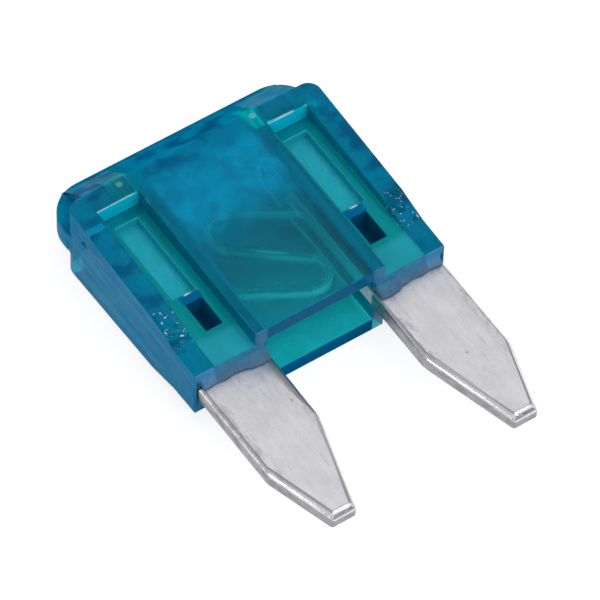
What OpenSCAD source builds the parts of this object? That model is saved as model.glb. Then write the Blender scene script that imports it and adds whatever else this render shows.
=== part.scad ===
// Plug-in automotive blade fuse, small size: a clear moulded housing on a stamped fuse element.
// X runs across the two blades, +Y from the blade tips to the head, +Z out of the front face.
// The part lies on its back, so Z = 0 is the plane it rests on.

/* [Overall] */
// Length from the blade tips to the top of the head
total_len = 16.3; // [16:0.05:17]
// Thickness of the housing at its collar
body_t = 3.3; // [3.2:0.05:3.8]
// Wall of the housing outside each blade
side_wall = 0.12; // [0.1:0.01:0.2]
// Length of the blades that stands out of the housing
bare_len = 6.87; // [6.6:0.01:7]

/* [Head] */
// Height of the head above the collar
head_h = 1.37; // [1.3:0.01:1.5]
// Overhang of the lip beyond the collar on each side
lip_over = 0.08; // [0.05:0.01:0.2]
// Thickness of the lip
lip_t = 0.96; // [0.94:0.02:1.2]
// Corner radius of the lip seen from the front
lip_r = 1.4; // [1.2:0.05:1.5]
// Length of each side of the lip below the collar's top edge
lip_tail = 0.3; // [0.25:0.05:0.6]
// Corner radius of the collar seen from the front
collar_r = 0.5; // [0.3:0.05:0.7]
// Distance of the sloping roof's ends from the sides of the collar
roof_in = 0.72; // [0.6:0.02:1]
// Distance of the top of the roof below the top of the lip
roof_drop = 0.12; // [0.08:0.02:0.3]

/* [Pockets over the blades] */
// Overlap of the raised middle panel on each blade
panel_lap = 0.48; // [0.4:0.02:0.5]
// Overlap of each side rim on its blade
rim_lap = 0.68; // [0.6:0.02:0.8]
// Distance of the pockets' top wall below the collar's top edge
pocket_drop = 0.85; // [0.75:0.01:0.95]
// Plastic over each blade at a pocket floor
floor_skin = 0.6; // [0.5:0.02:0.7]
// Width of the sight groove in each pocket floor
groove_w = 0.9; // [0.7:0.05:1.1]
// Distance of the groove's centre line inside the blade's centre line
groove_in = 0.1; // [0:0.02:0.2]
// Distance of the groove's lower end from the blade end of the housing
groove_rise = 3.15; // [3.1:0.05:3.4]
// Length of the sight groove
groove_len = 3.55; // [3:0.05:3.6]
// Skin of plastic between the groove and its blade
groove_skin = 0.18; // [0.12:0.02:0.3]

/* [Side rims] */
// Height of the rims over the pocket floors at the blade end
rim_end = 0.02; // [0.02:0.01:0.06]
// Height of the rims over the pocket floors just below the crimp
rim_low = 0.08; // [0.07:0.01:0.16]
// Height of the rims over the pocket floors just above the crimp
rim_high = 0.38; // [0.3:0.02:0.46]
// Distance of the crimp from the blade end of the housing
crimp_rise = 1.28; // [1.1:0.02:1.5]
// Length of the crimp
crimp_len = 1.3; // [1.1:0.05:1.5]
// Distance below the collar's top edge at which the rims are at full thickness
rim_drop = 0.53; // [0.4:0.01:0.7]

/* [Hollow] */
// Skin of the middle panel over the hollow
hollow_skin = 0.59; // [0.5:0.01:0.65]
// Distance of the hollow's top below the collar's top edge
hollow_drop = 0.78; // [0.7:0.02:1.2]
// Clearance between the blades and their slots, on each side
fit_gap = 0.03; // [0.02:0.01:0.05]

/* [Flash at the blades] */
// Length of the moulded flash along each blade below the housing
flash_len = 0.4; // [0.2:0.05:0.5]
// Thickness of the flash at the housing
flash_root = 0.3; // [0.2:0.02:0.4]
// Thickness of the flash at its end
flash_tip = 0.08; // [0.05:0.01:0.12]
// Distance of the flash from each side of its blade
flash_in = 0.1; // [0.05:0.05:0.3]

/* [Gate mark] */
// Radius of the gate mark in the left side wall
gate_r = 0.12; // [0.08:0.01:0.15]
// Depth of the gate mark
gate_depth = 0.2; // [0.1:0.05:0.3]
// Distance of the gate mark below the collar's top edge
gate_drop = 1.22; // [1:0.02:1.4]
// Distance of the gate mark in front of the middle plane
gate_z = 0.78; // [0.7:0.02:0.85]

/* [Blades] */
// Width of a blade
blade_w = 2.8; // [2.7:0.05:2.85]
// Thickness of the sheet
blade_t = 0.8; // [0.76:0.02:0.82]
// Distance between the centre lines of the blades
blade_pitch = 7.1; // [7:0.05:7.15]
// Distance of the blades' shoulders below the top of the head
blade_drop = 2.5; // [2.4:0.05:2.7]
// Width of the flat end of a blade
tip_w = 0.93; // [0.8:0.01:1.1]
// Width taken off the outer side of a tip
tip_out = 0.82; // [0.7:0.01:0.9]
// Length of the outer slope of a tip
tip_out_len = 2.65; // [2.2:0.05:2.8]
// Length of the inner slope of a tip
tip_in_len = 3.65; // [3.2:0.05:3.9]
// Size of the coined break along the straight edges of a blade
edge_break = 0.12; // [0.06:0.01:0.14]
// Size of the coined break along the slopes of a tip
slope_break = 0.16; // [0.15:0.01:0.19]
// Size of the coined break along the flat end of a tip
end_break = 0.22; // [0.2:0.01:0.26]

/* [Test tabs] */
// Width of the test tab on top of a blade
tab_w = 0.65; // [0.55:0.05:0.75]
// Distance of the tab's centre line from the blade's inner edge
tab_in = 0.63; // [0.55:0.01:0.7]
// Depth of the tab's end below the top of the head
tab_recess = 0.4; // [0.2:0.05:0.6]

/* [Stakes] */
// Width of the stake hole in a blade
stake_w = 0.8; // [0.7:0.05:0.9]
// Length of the stake hole in a blade
stake_len = 1.4; // [1.2:0.05:1.5]
// Distance of the hole's centre line inside the blade's centre line
stake_in = 0.21; // [0.15:0.01:0.25]
// Distance of the hole's centre from the blade end of the housing
stake_rise = 2.08; // [2:0.02:2.2]
// Wall left round the punch mark in a stake
stake_wall = 0.05; // [0.04:0.01:0.08]
// Half thickness of the web at the bottom of a punch mark
stake_web = 0.2; // [0.15:0.01:0.3]

/* [Fusible link] */
// Width of the thin link between the blades
link_w = 0.28; // [0.2:0.02:0.32]
// Thickness of the link
link_t = 0.34; // [0.3:0.02:0.4]
// Narrowing of the link at its bends, on each side
bend_neck = 0.02; // [0.01:0.005:0.03]
// Radius of the upper bend on its centre line
bend_a_r = 0.8; // [0.74:0.01:0.84]
// Distance of the upper bend's centre left of the middle
bend_a_x = 0.42; // [0.36:0.02:0.48]
// Distance of the upper bend's centre below the blades' shoulders
bend_a_drop = 2.02; // [1.9:0.02:2.1]
// Radius of the lower bend on its centre line
bend_b_r = 0.7; // [0.66:0.01:0.76]
// Distance of the lower bend's centre right of the middle
bend_b_x = 0.85; // [0.8:0.01:0.9]
// Distance of the lower bend's centre from the blade end of the housing
bend_b_rise = 1.96; // [1.9:0.02:2.1]
// Slope of the run to the right blade
lead_ang = 31; // [28:1:34]
// Slope of the run to the left blade
tail_ang = 29; // [26:1:32]
// Width of the link's foot on each blade
foot_w = 1.1; // [0.9:0.05:1.2]
// Length of the link's feet
foot_len = 0.6; // [0.4:0.05:0.7]

/* [Hidden] */
$fn = 48;
eps = 0.02;
over = 1;
bend_lap = 3;
mid_z = body_t / 2;
y_low = -total_len / 2;
blade_in = (blade_pitch - blade_w) / 2;
blade_out = (blade_pitch + blade_w) / 2;
body_hw = blade_out + side_wall;
lip_hw = body_hw + lip_over;
roof_hw = body_hw - roof_in;
panel_hw = blade_in + panel_lap;
pocket_out = blade_out - rim_lap;
collar_y = total_len - head_h;
lip_y = collar_y - lip_tail;
pocket_y = collar_y - pocket_drop;
rim_top_y = collar_y - rim_drop;
hollow_top = collar_y - hollow_drop;
floor_hz = blade_t / 2 + floor_skin;
slot_hz = blade_t / 2 + fit_gap;
groove_hz = slot_hz + groove_skin;
hollow_hw = blade_in + fit_gap;
hollow_hz = mid_z - hollow_skin;
groove_x = blade_pitch / 2 - groove_in;
groove_y = bare_len + groove_rise;
crimp_low = bare_len + crimp_rise;
crimp_high = crimp_low + crimp_len;
blade_top = total_len - blade_drop;
tab_x = blade_in + tab_in;
tab_top = total_len - tab_recess;
stake_x = blade_pitch / 2 - stake_in;
stake_y = bare_len + stake_rise;
bend_a = [-bend_a_x, blade_top - bend_a_drop];
bend_b = [bend_b_x, bare_len + bend_b_rise];
bend_line = bend_b - bend_a;
link_ang = -atan2(bend_line[1], bend_line[0]) - asin((bend_a_r + bend_b_r) / norm(bend_line));

// Places a shape drawn from the blade tips and the middle plane into the part's frame.
module place() {
    translate([0, y_low, mid_z])
        children();
}

// A shape and its mirror image across the middle of the part.
module both_sides() {
    children();
    mirror([1, 0, 0])
        children();
}

// A shape and its mirror image behind the middle plane.
module both_faces() {
    children();
    mirror([0, 0, 1])
        children();
}

// A box given by its low and high corners.
module span(a, b) {
    translate(a)
        cube(b - a);
}

// Lip of the head seen from the front, with large corners at the top only.
module lip_outline() {
    translate([-lip_hw, lip_y])
        square([2 * lip_hw, total_len - lip_r - lip_y]);
    translate([lip_r - lip_hw, lip_y])
        square([2 * (lip_hw - lip_r), total_len - lip_y]);
    for (s = [-1, 1])
        translate([s * (lip_hw - lip_r), total_len - lip_r])
            circle(lip_r);
}

// Collar and body seen from the front, with small corners at the top.
module body_outline() {
    translate([-body_hw, bare_len])
        square([2 * body_hw, collar_y - collar_r - bare_len]);
    translate([collar_r - body_hw, bare_len])
        square([2 * (body_hw - collar_r), collar_y - bare_len]);
    for (s = [-1, 1])
        translate([s * (body_hw - collar_r), collar_y - collar_r])
            circle(collar_r);
}

// Front half of the side rims: full thickness at the collar, thin at the blade end.
module rim_profile() {
    polygon([
        [bare_len - over, -over],
        [bare_len - over, floor_hz + rim_end],
        [bare_len, floor_hz + rim_end],
        [crimp_low, floor_hz + rim_low],
        [crimp_high, floor_hz + rim_high],
        [rim_top_y, mid_z],
        [collar_y + over, mid_z],
        [collar_y + over, -over]
    ]);
}

// Everything that the housing is cut from, before its pockets.
module body_block() {
    intersection() {
        translate([0, 0, -mid_z])
            linear_extrude(body_t)
                body_outline();
        both_faces()
            union() {
                span([-panel_hw, 0, -over], [panel_hw, total_len, mid_z]);
                translate([-body_hw - over, 0, 0])
                    rotate([90, 0, 90])
                        linear_extrude(2 * (body_hw + over))
                            rim_profile();
            }
    }
}

// The roof that slopes from the collar's edges to the lip.
module roof() {
    translate([-roof_hw, 0, 0])
        rotate([90, 0, 90])
            linear_extrude(2 * roof_hw)
                polygon([
                    [collar_y - eps, -mid_z],
                    [collar_y, -mid_z],
                    [total_len - roof_drop, -lip_t / 2],
                    [total_len - roof_drop, lip_t / 2],
                    [collar_y, mid_z],
                    [collar_y - eps, mid_z]
                ]);
}

// The flash that the mould leaves on both faces of one blade, before the blade's slot is cut.
module flash() {
    root_hz = slot_hz + flash_root;
    tip_hz = slot_hz + flash_tip;
    translate([blade_in + flash_in, 0, 0])
        rotate([90, 0, 90])
            linear_extrude(blade_w - 2 * flash_in)
                polygon([
                    [bare_len - flash_len, -tip_hz],
                    [bare_len, -root_hz],
                    [bare_len + flash_len, -root_hz],
                    [bare_len + flash_len, root_hz],
                    [bare_len, root_hz],
                    [bare_len - flash_len, tip_hz]
                ]);
}

// A box through a blade's hole, smaller than the hole by an inset on each side.
module stake_box(inset, low, high) {
    translate([stake_x, stake_y, (low + high) / 2])
        cube([stake_w - 2 * inset, stake_len - 2 * inset, high - low], center = true);
}

// Pocket over one blade, with the sight groove and the punch mark in its floor.
module pocket() {
    span([panel_hw, bare_len - over, floor_hz], [pocket_out, pocket_y, mid_z + over]);
    span(
        [groove_x - groove_w / 2, groove_y, groove_hz],
        [groove_x + groove_w / 2, groove_y + groove_len, mid_z]
    );
    stake_box(fit_gap + stake_wall, stake_web, mid_z);
}

// Slot for one blade and its test tab, less the stake that fills the blade's hole.
module slot() {
    difference() {
        span(
            [blade_in - fit_gap, bare_len - over, -slot_hz],
            [blade_out + fit_gap, blade_top + fit_gap, slot_hz]
        );
        stake_box(fit_gap, -mid_z, mid_z);
    }
    span(
        [tab_x - tab_w / 2 - fit_gap, blade_top, -slot_hz],
        [tab_x + tab_w / 2 + fit_gap, total_len + over, slot_hz]
    );
}

module housing() {
    color([0.0, 0.42, 0.62, 0.5])
        place()
            difference() {
                union() {
                    body_block();
                    roof();
                    both_sides()
                        flash();
                    translate([0, 0, -lip_t / 2])
                        linear_extrude(lip_t)
                            lip_outline();
                }
                both_sides()
                    both_faces()
                        pocket();
                both_sides()
                    slot();
                span([-hollow_hw, bare_len - over, -hollow_hz], [hollow_hw, hollow_top, hollow_hz]);
                translate([-body_hw - over, collar_y - gate_drop, gate_z])
                    rotate([0, 90, 0])
                        cylinder(r = gate_r, h = over + gate_depth);
            }
}

// Corners of a blade seen from the front, from its inner shoulder round the tip to its outer one.
blade_line = [
    [blade_in, blade_top],
    [blade_in, tip_in_len],
    [blade_out - tip_out - tip_w, 0],
    [blade_out - tip_out, 0],
    [blade_out, tip_out_len],
    [blade_out, blade_top]
];

// Size of the break along each side of that line.
blade_breaks = [edge_break, slope_break, end_break, slope_break, edge_break];

// One blade seen from the front, tip at the bottom and test tab on top.
module blade_outline() {
    polygon(concat(blade_line, [
        [tab_x + tab_w / 2, blade_top],
        [tab_x + tab_w / 2, tab_top],
        [tab_x - tab_w / 2, tab_top],
        [tab_x - tab_w / 2, blade_top]
    ]));
}

// The coined break along the front edge of a blade from one corner to the next.
module edge_cut(p, q, size) {
    translate([p[0], p[1], blade_t / 2])
        rotate([0, 0, atan2(q[1] - p[1], q[0] - p[0])])
            rotate([45, 0, 0])
                translate([-over, -over, -size / sqrt(2)])
                    cube([norm(q - p) + 2 * over, 2 * over, over]);
}

// One blade with its hole and its broken edges.
module blade() {
    difference() {
        translate([0, 0, -blade_t / 2])
            linear_extrude(blade_t)
                blade_outline();
        both_faces()
            for (i = [0 : len(blade_breaks) - 1])
                edge_cut(blade_line[i], blade_line[i + 1], blade_breaks[i]);
        stake_box(0, -blade_t, blade_t);
    }
}

// Part of a ring round the origin, from one angle over a turn, with each end inside its run.
module bend(r, first, turn) {
    rotate([0, 0, first - bend_lap])
        rotate_extrude(angle = turn + 2 * bend_lap)
            translate([r - link_w / 2 + bend_neck, -link_t / 2])
                square([link_w - 2 * bend_neck, link_t]);
}

// A straight run of the link from a point, at an angle.
module run(p, ang, length) {
    translate([p[0], p[1], -link_t / 2])
        rotate([0, 0, ang])
            translate([0, -link_w / 2, 0])
                cube([length, link_w, link_t]);
}

// A triangular foot of the link, seen from the front.
module foot(corners) {
    translate([0, 0, -link_t / 2])
        linear_extrude(link_t)
            polygon(corners);
}

// The S-shaped link between the blades, with a triangular foot on each.
module link() {
    a_top = bend_a + bend_a_r * [sin(lead_ang), cos(lead_ang)];
    a_end = bend_a - bend_a_r * [sin(link_ang), cos(link_ang)];
    b_start = bend_b + bend_b_r * [sin(link_ang), cos(link_ang)];
    b_end = bend_b - bend_b_r * [sin(tail_ang), cos(tail_ang)];
    lead_len = (blade_in - a_top[0]) / cos(lead_ang);
    lead_y = a_top[1] - lead_len * sin(lead_ang);
    tail_len = (b_end[0] + blade_in) / cos(tail_ang);
    tail_y = b_end[1] + tail_len * sin(tail_ang);
    run(a_top, -lead_ang, lead_len);
    translate(bend_a)
        bend(bend_a_r, 90 - lead_ang, 180 + lead_ang - link_ang);
    run(a_end, -link_ang, norm(b_start - a_end));
    translate(bend_b)
        bend(bend_b_r, -90 - tail_ang, 180 + tail_ang - link_ang);
    run(b_end, 180 - tail_ang, tail_len);
    foot([
        [blade_in + eps, lead_y + foot_w * 3 / 4],
        [blade_in - foot_len, lead_y + foot_len * tan(lead_ang)],
        [blade_in + eps, lead_y - foot_w / 4]
    ]);
    foot([
        [-blade_in - eps, tail_y + foot_w / 4],
        [-blade_in + foot_len, tail_y - foot_len * tan(tail_ang)],
        [-blade_in - eps, tail_y - foot_w * 3 / 4]
    ]);
}

module fuse_element() {
    color([0.72, 0.72, 0.74])
        place()
            union() {
                both_sides()
                    blade();
                link();
            }
}

housing();
fuse_element();
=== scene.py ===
import math

import bmesh
import bpy
from mathutils import Matrix, Vector


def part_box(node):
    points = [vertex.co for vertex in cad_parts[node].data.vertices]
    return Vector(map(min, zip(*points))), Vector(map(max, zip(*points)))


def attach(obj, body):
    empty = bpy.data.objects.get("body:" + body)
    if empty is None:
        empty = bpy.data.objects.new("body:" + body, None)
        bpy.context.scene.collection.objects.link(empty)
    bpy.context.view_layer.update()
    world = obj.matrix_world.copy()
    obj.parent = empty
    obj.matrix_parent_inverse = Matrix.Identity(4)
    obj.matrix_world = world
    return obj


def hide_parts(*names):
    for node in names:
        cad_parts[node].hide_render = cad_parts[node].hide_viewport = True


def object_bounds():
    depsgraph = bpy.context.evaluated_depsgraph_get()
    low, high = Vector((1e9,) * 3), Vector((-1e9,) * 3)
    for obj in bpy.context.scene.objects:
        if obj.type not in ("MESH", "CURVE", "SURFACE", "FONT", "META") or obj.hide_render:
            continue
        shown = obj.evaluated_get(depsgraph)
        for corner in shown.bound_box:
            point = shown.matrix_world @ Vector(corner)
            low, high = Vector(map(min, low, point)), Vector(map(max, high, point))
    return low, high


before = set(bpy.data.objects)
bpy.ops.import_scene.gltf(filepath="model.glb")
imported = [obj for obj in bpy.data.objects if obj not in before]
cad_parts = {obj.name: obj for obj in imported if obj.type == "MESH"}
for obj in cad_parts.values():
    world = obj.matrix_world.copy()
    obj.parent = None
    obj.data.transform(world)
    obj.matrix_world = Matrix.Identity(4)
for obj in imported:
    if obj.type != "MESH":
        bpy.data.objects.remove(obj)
cad_low, cad_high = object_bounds()

# Housing
# One moulding in clear blue plastic, closed over the stamped element. The mould leaves its edges
# slightly rounded. A press has punched a stake through each blade and creased both side rims,
# and a thin flash of plastic stands round each blade where it comes out.
MM = 0.001
MIDDLE_Z = (cad_low[2] + cad_high[2]) / 2
HOUSING_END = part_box("housing")[0][1]
SAME_POINT = 2e-7
FLAT_ANGLE = math.radians(0.5)
SHARP_ANGLE = math.radians(12)
FLAT_WEIGHT = 90
MOULD_ROUND = 0.05 * MM
MOULD_STEPS = 2
SLOT_HALF = 0.47 * MM
WALL_IN = 5.0 * MM
FLASH_THIN = 0.25 * MM


class Wire:
    """A socket of a material, so that shader maths can be written as plain expressions."""

    def __init__(self, tree, socket):
        self.tree = tree
        self.socket = socket

    def maths(self, operation, *values):
        """The result of a new Math node."""
        made = self.tree.nodes.new("ShaderNodeMath")
        made.operation = operation
        for socket, value in zip(made.inputs, values):
            feed(self.tree, socket, value)
        return Wire(self.tree, made.outputs[0])

    def __add__(self, other):
        return self.maths("ADD", self, other)

    def __radd__(self, other):
        return self.maths("ADD", other, self)

    def __sub__(self, other):
        return self.maths("SUBTRACT", self, other)

    def __rsub__(self, other):
        return self.maths("SUBTRACT", other, self)

    def __mul__(self, other):
        return self.maths("MULTIPLY", self, other)

    def __rmul__(self, other):
        return self.maths("MULTIPLY", other, self)

    def size(self):
        """The value without its sign."""
        return self.maths("ABSOLUTE", self)

    def or_more(self, other):
        """The larger of two values."""
        return self.maths("MAXIMUM", self, other)


def feed(tree, socket, value):
    """Gives a socket a value, or links it to a wire."""
    if isinstance(value, Wire):
        tree.links.new(value.socket, socket)
    else:
        socket.default_value = value


class Finish:
    """The nodes of a material or of the room's light, made by kind, settings and inputs."""

    def __init__(self, holder):
        holder.use_nodes = True
        self.holder = holder
        self.tree = holder.node_tree

    def node(self, kind, settings, inputs, output=0):
        """Adds a node and gives back one of its outputs."""
        made = self.tree.nodes.new(kind)
        for name, value in settings.items():
            setattr(made, name, value)
        for name, value in inputs.items():
            feed(self.tree, made.inputs[name], value)
        return Wire(self.tree, made.outputs[output])

    def give(self, node, inputs):
        """Fills the inputs of a node that is there from the start, and gives back its result."""
        made = self.tree.nodes[node]
        for name, value in inputs.items():
            feed(self.tree, made.inputs[name], value)
        return Wire(self.tree, made.outputs[0]) if made.outputs else None

    def place(self, across, along, through):
        """The object's own coordinates in millimetres, each stretched by its own factor."""
        own = self.node("ShaderNodeTexCoord", {}, {}, "Object")
        stretch = (across / MM, along / MM, through / MM)
        return self.node("ShaderNodeVectorMath", {"operation": "MULTIPLY"}, {0: own, 1: stretch})

    def facing(self):
        """The way that the surface faces, on the object's own axes."""
        return self.parts(self.node("ShaderNodeTexCoord", {}, {}, "Normal"))

    def parts(self, vector):
        """The three numbers of a place or a direction."""
        apart = self.node("ShaderNodeSeparateXYZ", {}, {0: vector}).socket.node
        return [Wire(self.tree, number) for number in apart.outputs]

    def noise(self, place, scale, detail, roughness=0.5):
        """Soft noise between 0 and 1."""
        inputs = {"Vector": place, "Scale": scale, "Detail": detail, "Roughness": roughness}
        return self.node("ShaderNodeTexNoise", {}, inputs, "Fac")

    def rise(self, value, border):
        """0 before a soft border, 1 after it."""
        inputs = {"Value": value, "From Min": border[0], "From Max": border[1]}
        return self.node("ShaderNodeMapRange", {"interpolation_type": "SMOOTHSTEP"}, inputs)

    def fall(self, value, border):
        """1 before a soft border, 0 after it."""
        return 1 - self.rise(value, border)

    def near(self, value, middle, border):
        """1 round a middle, 0 further away than a soft border."""
        return self.fall((value - middle).size(), border)

    def blend(self, share, first, second):
        """A colour between two others."""
        return self.node("ShaderNodeMix", {"data_type": "RGBA"}, {0: share, 6: first, 7: second}, 2)

    def cover(self, ground, layers):
        """A colour with others laid over it in turn, each by its own share."""
        for share, layer in layers:
            ground = self.blend(share, ground, layer)
        return ground

    def bump(self, height, distance):
        """A normal from a height that is about 0 to 1."""
        return self.node("ShaderNodeBump", {}, {"Height": height, "Distance": distance})


def colour(red, green, blue):
    """A plain colour, as a socket takes it."""
    return (red, green, blue, 1)


def closed_copy(node):
    """A node's surface with its triangles joined up into flat faces."""
    form = bmesh.new()
    form.from_mesh(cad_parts[node].data)
    bmesh.ops.remove_doubles(form, verts=form.verts, dist=SAME_POINT)
    bmesh.ops.dissolve_limit(form, angle_limit=FLAT_ANGLE, verts=form.verts, edges=form.edges)
    bmesh.ops.connect_verts_concave(form, faces=form.faces)
    return form


def round_edges(form, node, width, steps, chosen):
    """Rounds the sharp edges that the test picks by their middle, and keeps to the node's box."""
    edges = []
    for edge in form.edges:
        middle = (edge.verts[0].co + edge.verts[1].co) / 2
        if edge.calc_face_angle(0) > SHARP_ANGLE and chosen(middle):
            edges.append(edge)
    bmesh.ops.bevel(
        form,
        geom=edges,
        offset=width,
        offset_type="OFFSET",
        segments=steps,
        profile=0.5,
        affect="EDGES",
        clamp_overlap=False,
    )
    bmesh.ops.triangulate(form, faces=[face for face in form.faces if len(face.verts) > 4])
    node_low, node_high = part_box(node)
    for vert in form.verts:
        for axis in range(3):
            vert.co[axis] = min(max(vert.co[axis], node_low[axis]), node_high[axis])


def show_for(form, name, node, material):
    """Turns a form into the piece that is shown for a node."""
    mesh = bpy.data.meshes.new(name)
    form.to_mesh(mesh)
    form.free()
    mesh.shade_smooth()
    mesh.materials.append(material)
    piece = bpy.data.objects.new(name, mesh)
    bpy.context.scene.collection.objects.link(piece)
    piece.modifiers.new("flat_faces", "WEIGHTED_NORMAL").weight = FLAT_WEIGHT
    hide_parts(node)
    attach(piece, "root")
    return piece


def outside_the_slots(middle):
    """True for an edge that isn't hidden in a blade's slot."""
    buried = abs(middle.z - MIDDLE_Z) < SLOT_HALF and abs(middle.x) < WALL_IN
    return not buried and middle.y > HOUSING_END + FLASH_THIN


# Where the look of the plastic changes, in millimetres: a pair is the ends of a soft border.
END_FACE = (-1.26, -1.2)
FLASH_START = (-1.36, -1.3)
FRONT_HALF = (1.75, 1.85)
BACK_SKIN = (0.62, 0.7)
PANEL_SIDE = (2.1, 2.2)
PANEL_FLANK = (2.55, 2.62)
PANEL_FLANK_START = (-1.3, -1.1)
PANEL_BRIGHT = (0.8, 4.6)
PANEL_BRIGHT_SIDE = (1.9, 2.6)
HOLLOW_START = (-0.9, 0.6)
LINK_SIDE = (1.9, 2.2)
LINK_TOP = (2.6, 3.8)
HEAD_START = (5.2, 6.6)
ROOF_START = (6.6, 6.9)
BODY_SIDE = (4.7, 4.9)
RIM_START = (4.25, 4.35)
POCKET_INNER = (2.58, 2.62)
POCKET_OUTER = (4.28, 4.32)
POCKET_TOP = (5.9, 6.1)
POCKET_SILL = (5.4, 5.48)
POCKET_FOOT = (-0.3, 0.1)
STEP_START = (5.7, 5.8)
STEP_HIGHLIGHT_Z = (3.15, 3.2)
STEP_HIGHLIGHT_Y = 5.93
STEP_HIGHLIGHT_HALF = (0.05, 0.08)
GROOVE_MIDDLE = (3.45, 3.645)
GROOVE_WALLS = (0.55, 0.6)
WINDOW_HALF_X = (0.45, 0.5)
WINDOW_HALF_Y = (1.775, 1.825)
PUNCH_MIDDLE = (3.34, 0.8)
PUNCH_HALF_X = (0.33, 0.37)
PUNCH_HALF_Y = (0.64, 0.68)
BAND_Y = 1.62
BAND_HALF_X = (0.38, 0.42)
BAND_HALF_Y = (0.15, 0.18)
BAND_GLINT_Y = 1.80
BAND_GLINT_HALF = (0.02, 0.05)
CRIMP_Y = 0.75
CRIMP_HALF_Y = (0.5, 0.9)
CRIMP_START = (4.2, 4.32)
TAB_MIDDLE = (2.72, 6.53)
TAB_SHIFT = 0.3
TAB_HALF_X = (0.3, 0.5)
TAB_START = (5.95, 6.0)
TAB_END = (7.2, 7.6)
GLINT_SPOT = (0.001, 0.025)

# How far a face has to turn, from 0 for square to 1 for straight towards that side.
STEP_TURN = (0.35, 0.7)
STEP_HIGHLIGHT_TURN = (0.2, 0.4)
STEP_HIGHLIGHT_OVERTURN = (0.8, 0.9)
UPRIGHT_TURN = (0.6, 0.8)
END_TURN = (0.5, 0.7)
CLEARER_TURN = (0.92, 0.98)

PLASTIC_REFRACTION = 1.57
PLASTIC_TINT = colour(0.1, 0.75, 1.0)
DYE_COLOUR = colour(0.0, 0.958, 0.973)
DYE_STRENGTH = 6000
PLASTIC_RELIEF = 0.018 * MM


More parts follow.
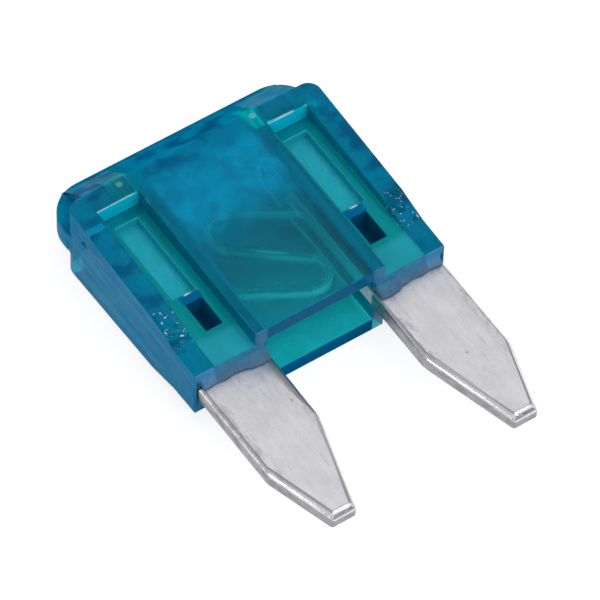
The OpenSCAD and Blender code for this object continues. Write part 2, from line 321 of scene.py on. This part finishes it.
def clear_blue_plastic():
    """Clear plastic with a blue dye in it, milky where it is cloudy, frosted, pressed or dense. The milk
    also carries painted highlights, painted light and painted shade.
    """
    plastic = Finish(bpy.data.materials.new("clear_blue_plastic"))
    place = plastic.place(1, 1, 1)
    x, y, z = plastic.parts(place)
    across = x.size()
    turned_x, turned_y = plastic.facing()[:2]
    to_blades = -1 * turned_y

    grain = plastic.noise(plastic.place(1, 0.25, 1), scale=9, detail=3)
    cloud = plastic.rise(plastic.noise(place, scale=1.5, detail=2), (0.32, 0.70))
    mottle = plastic.rise(plastic.noise(plastic.place(1, 1.5, 1), scale=0.9, detail=3), (0.35, 0.55))
    streak = plastic.rise(plastic.noise(plastic.place(3, 0.15, 3), scale=1.0, detail=3), (0.45, 0.65))
    patchy = plastic.rise(plastic.noise(place, scale=2.3, detail=3), (0.4, 0.55))

    over_blade = plastic.rise(across, PANEL_SIDE)
    front = plastic.rise(z, FRONT_HALF)
    end = plastic.fall(y, END_FACE)
    blade_exit = end * over_blade
    panel_end = plastic.rise(to_blades, END_TURN) * end * (1 - over_blade)
    panel_flank = over_blade * plastic.fall(across, PANEL_FLANK) * plastic.rise(y, PANEL_FLANK_START)
    panel_bright = plastic.rise(y, PANEL_BRIGHT) * plastic.fall(across, PANEL_BRIGHT_SIDE)
    over_link = plastic.fall(across, LINK_SIDE) * plastic.fall(y, LINK_TOP) * front
    # Painted shade: milk on the back skin, and more behind the hollow, dims the white table seen through
    # it. It stands for the table's shade under the fuse.
    back = plastic.fall(z, BACK_SKIN) * (1 - over_blade)
    shade_behind_hollow = back * plastic.rise(y, HOLLOW_START)
    head = plastic.rise(y, HEAD_START)
    roof = plastic.rise(y, ROOF_START)
    side = plastic.rise(turned_x.size(), UPRIGHT_TURN) * plastic.rise(across, BODY_SIDE)
    rim = plastic.rise(across, RIM_START)
    # The head's top and the right side let more light in than the faces round them.
    clearer = plastic.rise(turned_x.or_more(turned_y), CLEARER_TURN)

    pocket = plastic.rise(across, POCKET_INNER) * plastic.fall(across, POCKET_OUTER)
    pocket = pocket * plastic.fall(y, POCKET_TOP) * (1 - blade_exit)
    sill = plastic.rise(y, POCKET_SILL)
    foot = plastic.fall(y, POCKET_FOOT)
    groove = plastic.near(across, GROOVE_MIDDLE[0], GROOVE_WALLS)
    upright = plastic.rise(turned_x.size().or_more(turned_y.size()), UPRIGHT_TURN)
    pocket_wall = upright * pocket * (1 - 0.7 * groove)
    window = plastic.near(across, GROOVE_MIDDLE[0], WINDOW_HALF_X)
    window = window * plastic.near(y, GROOVE_MIDDLE[1], WINDOW_HALF_Y)
    # Painted light: the step walls that face the blades are painted bright teal, as if lit.
    step = plastic.rise(to_blades, STEP_TURN) * plastic.rise(y, STEP_START) * over_blade * front
    # Painted highlight: a pale line along the top edge of the step walls that face the blades.
    step_rim_highlight = plastic.rise(to_blades, STEP_HIGHLIGHT_TURN) * plastic.fall(to_blades, STEP_HIGHLIGHT_OVERTURN)
    step_rim_highlight = step_rim_highlight * plastic.rise(z, STEP_HIGHLIGHT_Z) * plastic.near(y, STEP_HIGHLIGHT_Y, STEP_HIGHLIGHT_HALF) * patchy

    # Painted light: the band over each metal tab is painted bright teal. The tab is really there, but the
    # brightness it shows through the head is painted.
    tab_across = (x + TAB_SHIFT).size() - TAB_MIDDLE[0]
    tab_along = y - TAB_MIDDLE[1]
    tab = plastic.near(tab_across, 0, TAB_HALF_X) * front
    tab = tab * plastic.rise(y, TAB_START) * plastic.fall(y, TAB_END)
    # Painted highlight: a small pale spot where each tab's end glints.
    glint = plastic.fall(tab_across * tab_across + tab_along * tab_along, GLINT_SPOT) * front

    punch = plastic.near(across, PUNCH_MIDDLE[0], PUNCH_HALF_X)
    punch = punch * plastic.near(y, PUNCH_MIDDLE[1], PUNCH_HALF_Y)
    band_across = plastic.near(across, PUNCH_MIDDLE[0], BAND_HALF_X)
    band = band_across * plastic.near(y, BAND_Y, BAND_HALF_Y)
    # Painted highlight: a thin pale glint line along the top edge of the band above each punch.
    band_glint = band_across * plastic.near(y, BAND_GLINT_Y, BAND_GLINT_HALF)
    crimp = plastic.near(y, CRIMP_Y, CRIMP_HALF_Y) * plastic.rise(across, CRIMP_START) * (1 - side)
    # The creased rims get small bumps, and their pale colour is a painted sparkle.
    crimp_fleck_and_sparkle = crimp * plastic.rise(plastic.noise(place, scale=8, detail=2, roughness=0.6), (0.61, 0.67))
    crimp_frost = crimp * plastic.rise(plastic.noise(place, scale=2.4, detail=2), (0.5, 0.6))
    # Painted highlights: the crimps' sparkle and the glint line above each punch, laid on as pale milk.
    painted_sparkle = crimp_fleck_and_sparkle.or_more(band_glint * streak)

    wave = plastic.noise(place, scale=0.7, detail=2)
    relief = plastic.bump(wave + 0.06 * grain + 2.5 * crimp_fleck_and_sparkle + 0.8 * crimp_frost, PLASTIC_RELIEF)
    clear = plastic.give("Principled BSDF", {
        "Base Color": plastic.blend(cloud, colour(0.93, 0.98, 0.99), colour(1.0, 1.0, 1.0)),
        "Roughness": 0.03 + 0.09 * grain,
        "Normal": relief,
        "IOR": PLASTIC_REFRACTION,
        "Transmission Weight": 1.0,
        "Specular Tint": PLASTIC_TINT,
    })

    panel_low = plastic.blend(cloud, colour(0.0, 0.14, 0.24), colour(0.0, 0.20, 0.28))
    panel_high = plastic.blend(cloud, colour(0.0, 0.42, 0.76), colour(0.0, 0.52, 0.90))
    panel = plastic.blend(panel_bright, panel_low, panel_high)
    dense = plastic.blend(mottle, colour(0.0, 0.125, 0.30), colour(0.0, 0.25, 0.46))
    exit_band = plastic.blend(grain, colour(0.03, 0.22, 0.44), colour(0.09, 0.33, 0.58))
    flash = plastic.blend(grain, colour(0.06, 0.17, 0.32), colour(0.16, 0.32, 0.50))
    through_window = plastic.blend(grain, colour(0.0, 0.52, 0.68), colour(0.06, 0.76, 0.90))
    pocket_floor = plastic.cover(colour(0.0, 0.46, 0.50), (
        (foot, colour(0.03, 0.60, 0.76)),
        (sill, colour(0.0, 0.20, 0.27)),
        (window, through_window),
    ))
    milk_colour = plastic.cover(panel, (
        (head.or_more(rim), dense),
        (panel_flank, colour(0.0, 0.21, 0.36)),
        (pocket, pocket_floor),
        (pocket_wall, colour(0.0, 0.18, 0.30)),
        (0.9 * tab, plastic.blend(streak, colour(0.0, 0.26, 0.34), colour(0.0, 0.52, 0.60))),
        (glint, colour(0.12, 0.42, 0.50)),
        (blade_exit, plastic.blend(plastic.fall(y, FLASH_START), exit_band, flash)),
        (side, plastic.blend(streak, colour(0.0, 0.28, 0.58), colour(0.02, 0.36, 0.66))),
        (step, colour(0.0, 0.55, 0.76)),
        (panel_end, colour(0.0, 0.15, 0.36)),
        (band, colour(0.0, 0.15, 0.36)),
        (punch, colour(0.0, 0.075, 0.17)),
        (0.85 * crimp_frost, colour(0.0, 0.08, 0.13)),
        (shade_behind_hollow, colour(0.0, 0.44, 0.54)),
        (step_rim_highlight, colour(0.40, 0.62, 0.70)),
        (painted_sparkle, colour(0.60, 0.70, 0.82)),
    ))
    milk = plastic.node("ShaderNodeBsdfPrincipled", {}, {
        "Base Color": milk_colour,
        "Roughness": 0.1 + 0.09 * grain,
        "Normal": relief,
        "Specular IOR Level": 0.0,
    })

    # The share of milk: a thin haze all over, more where the plastic is dense or was pressed, and more
    # where highlights, light or shade are painted into it.
    denser = (0.3 * head + 0.38 * roof).or_more(0.35 * rim).or_more(0.58 * side)
    share = (0.18 + 0.10 * cloud) * (1 - 0.6 * over_link) + denser * (1 - 0.5 * clearer)
    share = (share + 0.15 * panel_bright + 0.25 * panel_flank) * (1 - pocket)
    share = share + (0.46 + 0.14 * window + 0.45 * sill + 0.4 * band) * pocket
    share = share + 0.3 * pocket_wall + 0.75 * step + 0.85 * punch + 0.2 * glint
    share = share + 0.45 * blade_exit + 0.72 * panel_end + 0.35 * back + 0.3 * shade_behind_hollow
    share = share + 0.5 * painted_sparkle + 0.3 * crimp_frost
    dye = {"Color": DYE_COLOUR, "Density": DYE_STRENGTH}
    plastic.give("Material Output", {
        "Surface": plastic.node("ShaderNodeMixShader", {}, {0: share, 1: clear, 2: milk}),
        "Volume": plastic.node("ShaderNodeVolumeAbsorption", {}, dye),
    })
    return plastic.holder


FLASH_FROM = -1.3 * MM
FLASH_TIP = 0.01 * MM
FLASH_CUTS = [2.2 + 0.2 * step for step in range(14)]
FLASH_NOTCH = 3.05
FLASH_BACK = 0.15
FLASH_WORN = 0.02
FLASH_WAVES = ((0.015, 9.1, 0), (0.015, 23, 1))
CUT_SLACK = 1e-7


def break_up_flash(form):
    """Cuts the flash into short lengths and moves its tip in by an uneven amount."""
    for side in (-1, 1):
        for cut in FLASH_CUTS:
            faces = [face for face in form.faces if face.calc_center_median().y < FLASH_FROM]
            edges = {edge for face in faces for edge in face.edges}
            verts = {vert for face in faces for vert in face.verts}
            bmesh.ops.bisect_plane(
                form,
                geom=faces + list(edges) + list(verts),
                dist=CUT_SLACK,
                plane_co=(side * cut * MM, 0, 0),
                plane_no=(1, 0, 0),
            )
    for vert in form.verts:
        if vert.co.y < HOUSING_END + FLASH_TIP:
            along = abs(vert.co.x) / MM
            back = FLASH_WORN + FLASH_BACK * (along > FLASH_NOTCH)
            for height, pace, start in FLASH_WAVES:
                back += height * math.sin(pace * along + start)
            vert.co.y += back * MM
    bmesh.ops.connect_verts_concave(form, faces=form.faces)


housing_form = closed_copy("housing")
break_up_flash(housing_form)
round_edges(housing_form, "housing", MOULD_ROUND, MOULD_STEPS, outside_the_slots)
housing = show_for(housing_form, "housing_shell", "housing", clear_blue_plastic())

# Fuse element
# One stamping in zinc sheet: two blades with coined edges and the thin link between them.
# The sheet is satin from rolling, with scratches along the blades, a few dark specks and
# rougher edges where it was sheared. These edges are painted darker, partly for that finish and
# partly as painted shade. A painted dark reflection runs where the coined edges turn into the
# flat sides, and the zinc inside the housing is painted lighter as painted light.
SHEET_ROUND = 0.08 * MM
SHEET_STEPS = 4
SHEET_RELIEF = 0.012 * MM
BARE_BELOW = HOUSING_END + 0.5 * MM
INSIDE_START = (-1.3, -1.1)
LINK_FROM = (1.9, 2.2)
BLADE_MIDDLE = 3.55
BLADE_RUB = (1.2, 1.7)
SPECK_SPACING = 1.6
SPECK_SIZE = (0.04, 0.12)

# How upright a face stands: 0 on the sheared edges, 1 on the sheet's two flat sides. These borders place
# the painted shade on the upright faces and the painted dark reflection where a coined edge turns flat.
SHEARED_AND_SHADED = (0.15, 0.45)
COINED_START = (0.15, 0.4)
COINED_END = (0.9, 0.98)
DARK_LINE_START = (0.80, 0.88)
DARK_LINE_END = (0.98, 0.998)


def zinc_sheet():
    """Satin zinc, worn where it is bare, and less mirror-like inside the housing, where its colour is
    painted lighter as painted light.
    """
    zinc = Finish(bpy.data.materials.new("zinc_sheet"))
    x, y, _ = zinc.parts(zinc.place(1, 1, 1))
    across = x.size()
    level = zinc.facing()[2].size()
    inside = zinc.rise(y, INSIDE_START)
    link = zinc.fall(across, LINK_FROM)
    # Painted shade: the upright sheared faces are darkened, on top of their own darker sheared finish.
    sheared_and_shaded = zinc.fall(level, SHEARED_AND_SHADED) * (1 - inside)
    coined = zinc.rise(level, COINED_START) * zinc.fall(level, COINED_END)
    # Painted reflection: a dark line where each coined edge turns into a flat side.
    dark_reflection_line = zinc.rise(level, DARK_LINE_START) * zinc.fall(level, DARK_LINE_END)

    streak = zinc.noise(zinc.place(7, 0.8, 7), scale=1.0, detail=5, roughness=0.6)
    hair = zinc.noise(zinc.place(16, 0.9, 16), scale=1.0, detail=3, roughness=0.6)
    hair = zinc.rise(hair, (0.64, 0.74))
    cloud = zinc.noise(zinc.place(1, 0.7, 1), scale=1.4, detail=6, roughness=0.65)
    grit = zinc.noise(zinc.place(1, 1, 1), scale=14, detail=4, roughness=0.7)
    blotch = zinc.noise(zinc.place(3, 1.2, 3), scale=1.5, detail=5, roughness=0.7)
    blotch = zinc.rise(blotch, (0.46, 0.58))
    speck_place = {"Vector": zinc.place(1, 0.7, 1), "Scale": SPECK_SPACING}
    speck = zinc.node("ShaderNodeTexVoronoi", {}, speck_place, "Distance")
    speck = zinc.fall(speck, SPECK_SIZE) * zinc.rise(cloud, (0.44, 0.54))
    rub = (across - BLADE_MIDDLE).size() + 0.5 * cloud + 0.3 * grit
    rub = zinc.rise(rub, BLADE_RUB) * (1 - inside) * blotch

    tone = zinc.rise(0.25 * streak + 0.45 * cloud + 0.3 * grit, (0.35, 0.65))
    bare = zinc.blend(tone, colour(0.70, 0.69, 0.72), colour(0.84, 0.83, 0.86))
    # Painted light: inside the housing the zinc is painted lighter. This stands for the light that reaches
    # it through the plastic.
    painted_light_inside = zinc.blend(tone, colour(0.88, 0.88, 0.90), colour(1.0, 1.0, 1.0))
    zinc_colour = zinc.cover(bare, (
        (inside, painted_light_inside),
        (0.45 * hair * zinc.rise(cloud, (0.45, 0.6)), colour(0.42, 0.42, 0.44)),
        (0.62 * rub, colour(0.40, 0.40, 0.43)),
        (0.75 * dark_reflection_line, colour(0.26, 0.26, 0.29)),
        ((0.68 + 0.14 * blotch) * sheared_and_shaded, colour(0.17, 0.17, 0.19)),
        (0.7 * speck, colour(0.22, 0.21, 0.21)),
    ))
    rough = (0.30 + 0.14 * grit + 0.08 * streak + 0.15 * speck) * (1 - 0.5 * coined) + 0.25 * inside
    height = (0.5 * grit + 0.4 * streak + cloud - 0.4 * hair) * (1 - 0.6 * coined)
    zinc.give("Principled BSDF", {
        "Base Color": zinc_colour,
        "Roughness": rough,
        "Normal": zinc.bump(height, SHEET_RELIEF),
        "Metallic": 1 - 0.7 * inside - 0.3 * link,
    })
    return zinc.holder


def bare_edge(middle):
    """True for an edge that stands outside the housing."""
    return middle.y < BARE_BELOW


element_form = closed_copy("fuse_element")
round_edges(element_form, "fuse_element", SHEET_ROUND, SHEET_STEPS, bare_edge)
element = show_for(element_form, "fuse_sheet", "fuse_element", zinc_sheet())

# Table and light
# A plain white card table in a white room that is brighter above and in front. A soft lamp in
# front lights the faces, and a small one on the left gives the coined edges their bright line.
TABLE_WIDTH = 1.2
CARD_GLOW = 0.78
CARD_TONES = (colour(0.36, 0.36, 0.36), colour(0.40, 0.40, 0.40))
SHOWS_WHITE = ("Is Camera Ray", "Is Glossy Ray", "Is Transmission Ray")
ROOM_LEVEL = 0.35
ROOM_ABOVE = 0.55
ROOM_FRONT = 0.35
LAMPS = (
    ("lamp_front", (0.06, -0.10, 0.20), 0.10, 0.08),
    ("lamp_left", (-0.192, 0.016, 0.053), 0.03, 0.025),
)

half = TABLE_WIDTH / 2
corners = [(-half, -half, 0), (half, -half, 0), (half, half, 0), (-half, half, 0)]
table_mesh = bpy.data.meshes.new("table")
table_mesh.from_pydata(corners, [], [(0, 1, 2, 3)])
table = bpy.data.objects.new("table", table_mesh)
bpy.context.scene.collection.objects.link(table)

card = Finish(bpy.data.materials.new("white_card"))
table_mesh.materials.append(card.holder)
card_fleck = card.noise(card.place(1, 1, 1), scale=0.4, detail=3)
card_surface = card.give("Principled BSDF", {
    "Base Color": card.blend(card_fleck, *CARD_TONES),
    "Roughness": 0.8 + 0.1 * card_fleck,
    "Specular IOR Level": 0.1,
})
card_white = card.node("ShaderNodeLightPath", {}, {}, SHOWS_WHITE[0])
for ray in SHOWS_WHITE[1:]:
    card_white = card_white.or_more(card.node("ShaderNodeLightPath", {}, {}, ray))
card_glow = card.node("ShaderNodeEmission", {}, {"Strength": CARD_GLOW * card_white})
card_sum = card.node("ShaderNodeAddShader", {}, {0: card_surface, 1: card_glow})
card.give("Material Output", {"Surface": card_sum})

room = Finish(bpy.data.worlds.new("room"))
bpy.context.scene.world = room.holder
room_x, room_y, room_z = room.parts(room.node("ShaderNodeTexCoord", {}, {}, "Generated"))
room_above = room_z.maths("SMOOTH_MIN", room_z.or_more(0.0), 1.0, 0.1)
room_front = (0.5 * room_x - 0.6 * room_y).or_more(0.0)
room.give("Background", {
    "Color": colour(1.0, 1.0, 1.0),
    "Strength": ROOM_LEVEL + ROOM_ABOVE * room_above + ROOM_FRONT * room_front,
})

for lamp_name, lamp_place, lamp_size, lamp_power in LAMPS:
    light = bpy.data.lights.new(lamp_name, "AREA")
    light.size = lamp_size
    light.energy = lamp_power
    lamp = bpy.data.objects.new(lamp_name, light)
    lamp.location = lamp_place
    lamp.rotation_euler = (-Vector(lamp_place)).to_track_quat("-Z", "Y").to_euler()
    bpy.context.scene.collection.objects.link(lamp)

# Camera
# A long lens looks down on the fuse from the blade end, over its left blade.
CAMERA_AZIMUTH = math.radians(-35.55)
CAMERA_ELEVATION = math.radians(53.48)
CAMERA_ROLL = math.radians(2.0)
CAMERA_DISTANCE = 220 * MM
CAMERA_ASIDE = (-4.52 * MM, 5.622 * MM)
PIXELS_PER_MM = 30.09
PICTURE_WIDTH = 600
SENSOR_WIDTH = 36
AIM = Vector((0, cad_low[1], MIDDLE_Z))

back = Vector((
    math.sin(CAMERA_AZIMUTH) * math.cos(CAMERA_ELEVATION),
    -math.cos(CAMERA_AZIMUTH) * math.cos(CAMERA_ELEVATION),
    math.sin(CAMERA_ELEVATION),
))
level = Vector((math.cos(CAMERA_AZIMUTH), math.sin(CAMERA_AZIMUTH), 0))
rising = back.cross(level)
right = math.cos(CAMERA_ROLL) * level + math.sin(CAMERA_ROLL) * rising
up = -math.sin(CAMERA_ROLL) * level + math.cos(CAMERA_ROLL) * rising
camera_data = bpy.data.cameras.new("camera")
camera_data.sensor_width = SENSOR_WIDTH
camera_data.lens = SENSOR_WIDTH * PIXELS_PER_MM * CAMERA_DISTANCE / MM / PICTURE_WIDTH
camera_data.clip_start = 0.01
camera_data.clip_end = 5
camera = bpy.data.objects.new("camera", camera_data)
bpy.context.scene.collection.objects.link(camera)
camera_turn = Matrix((right, up, back)).transposed().to_4x4()
camera_place = AIM + CAMERA_ASIDE[0] * right + CAMERA_ASIDE[1] * up + CAMERA_DISTANCE * back
camera.matrix_world = Matrix.Translation(camera_place) @ camera_turn
bpy.context.scene.camera = camera
bpy.context.scene.view_settings.view_transform = "Standard"
